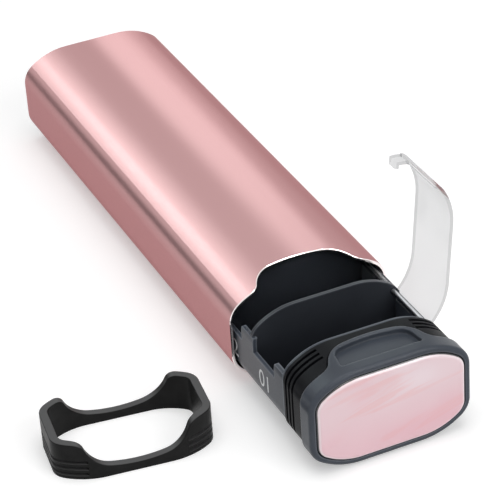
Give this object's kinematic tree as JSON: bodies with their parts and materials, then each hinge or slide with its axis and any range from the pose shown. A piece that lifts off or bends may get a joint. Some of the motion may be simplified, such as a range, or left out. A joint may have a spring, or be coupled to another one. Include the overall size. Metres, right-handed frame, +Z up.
{
  "type": "weekly pill box",
  "caption": "Slim weekly pill box: a metal sleeve, a slide-out tray of lidded compartments, a tabbed end cap with an inlay and a spare sealing ring.",
  "frame": {"origin": "on the table, under the middle of the sleeve's length and width", "axes": "+X across the case towards the lids' hinges, +Y back along the sleeve from its mouth, +Z up"},
  "size_m": [0.1344, 0.2508, 0.0803],
  "materials": {
    "rose_gold": "satin rose-gold anodising",
    "slate_plastic": "smooth slate-grey moulding",
    "black_silicone": "soft matte silicone",
    "clear_plastic": "clear and glossy",
    "marble_resin": "glossy pink marble pattern",
    "tape": "thin white adhesive pad",
    "steel": "plain turned steel"
  },
  "bodies": {
    "sleeve": {"sleeve": "rose_gold", "rear_plug": "slate_plastic", "rear_gasket": "black_silicone"},
    "tray": {"tray": "slate_plastic", "tray_front": "slate_plastic", "divider_1": "slate_plastic", "divider_2": "slate_plastic", "divider_3": "slate_plastic", "divider_4": "slate_plastic", "divider_5": "slate_plastic", "divider_6": "slate_plastic", "divider_7": "slate_plastic", "end_cap": "slate_plastic", "cap_inlay": "marble_resin", "inlay_tape": "tape", "cap_seal": "black_silicone", "cap_screws": "steel"},
    "lid_1": {"lid_1": "clear_plastic", "hinge_pin_1": "steel"},
    "lid_2": {"lid_2": "clear_plastic", "hinge_pin_2": "steel"},
    "lid_3": {"lid_3": "clear_plastic", "hinge_pin_3": "steel"},
    "lid_4": {"lid_4": "clear_plastic", "hinge_pin_4": "steel"},
    "lid_5": {"lid_5": "clear_plastic", "hinge_pin_5": "steel"},
    "lid_6": {"lid_6": "clear_plastic", "hinge_pin_6": "steel"},
    "lid_7": {"lid_7": "clear_plastic", "hinge_pin_7": "steel"},
    "spare_seal": {"spare_seal": "black_silicone"}
  },
  "joints": [
    {"name": "tray_slide", "type": "slide", "parent": "sleeve", "child": "tray", "axis": [0, -1, 0], "range_m": [-0.012, 0.13]},
    {"name": "lid_1_hinge", "type": "hinge", "parent": "tray", "child": "lid_1", "pos_m": [0.02498, -0.12045, 0.02775], "axis": [0, 1, 0], "range_deg": [-95, 0]},
    {"name": "lid_2_hinge", "type": "hinge", "parent": "tray", "child": "lid_2", "pos_m": [0.02498, -0.09575, 0.02775], "axis": [0, 1, 0], "range_deg": [0, 0.8]},
    {"name": "lid_3_hinge", "type": "hinge", "parent": "tray", "child": "lid_3", "pos_m": [0.02498, -0.07105, 0.02775], "axis": [0, 1, 0], "range_deg": [0, 0.8]},
    {"name": "lid_4_hinge", "type": "hinge", "parent": "tray", "child": "lid_4", "pos_m": [0.02498, -0.04635, 0.02775], "axis": [0, 1, 0], "range_deg": [0, 0.8]},
    {"name": "lid_5_hinge", "type": "hinge", "parent": "tray", "child": "lid_5", "pos_m": [0.02498, -0.02165, 0.02775], "axis": [0, 1, 0], "range_deg": [0, 0.8]},
    {"name": "lid_6_hinge", "type": "hinge", "parent": "tray", "child": "lid_6", "pos_m": [0.02498, 0.00305, 0.02775], "axis": [0, 1, 0], "range_deg": [0, 0.8]},
    {"name": "lid_7_hinge", "type": "hinge", "parent": "tray", "child": "lid_7", "pos_m": [0.02498, 0.02775, 0.02775], "axis": [0, 1, 0], "range_deg": [0, 0.8]},
    {"name": "spare_seal_lift", "type": "slide", "parent": "sleeve", "child": "spare_seal", "axis": [0, 0, 1], "range_m": [0, 0.03]}
  ]
}
